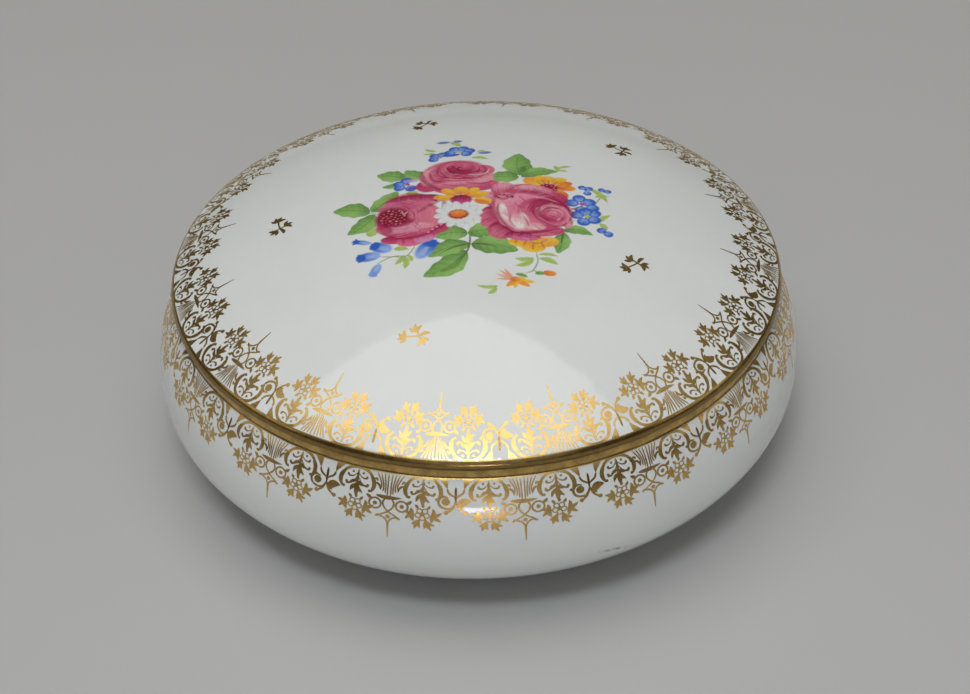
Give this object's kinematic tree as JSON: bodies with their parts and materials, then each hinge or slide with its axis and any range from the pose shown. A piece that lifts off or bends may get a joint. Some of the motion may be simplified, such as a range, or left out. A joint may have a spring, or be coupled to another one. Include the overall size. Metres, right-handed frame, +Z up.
{
  "type": "trinket box",
  "caption": "Squat round porcelain trinket box with a low domed lift-off lid, gilded rims, gilt lace borders and a painted bouquet on the lid.",
  "frame": {"origin": "centre of the foot ring, on the surface the box stands on", "axes": "+Z up along the axis the box is turned about; -Y is the front"},
  "size_m": [0.1604, 0.1604, 0.0655],
  "materials": {
    "porcelain": "clear gloss glaze over hard white porcelain, bare on the foot and on the seats",
    "gilding": "burnished fired gold, a film on the rims and in the lace borders",
    "enamel": "coloured overglaze enamel of the bouquet, glossy and slightly raised"
  },
  "bodies": {
    "bowl": {"bowl": "porcelain"},
    "lid": {"lid": "porcelain"}
  },
  "joints": [
    {"name": "lid_lift", "type": "slide", "parent": "bowl", "child": "lid", "axis": [0, 0, 1], "range_m": [0, 0.1]}
  ]
}
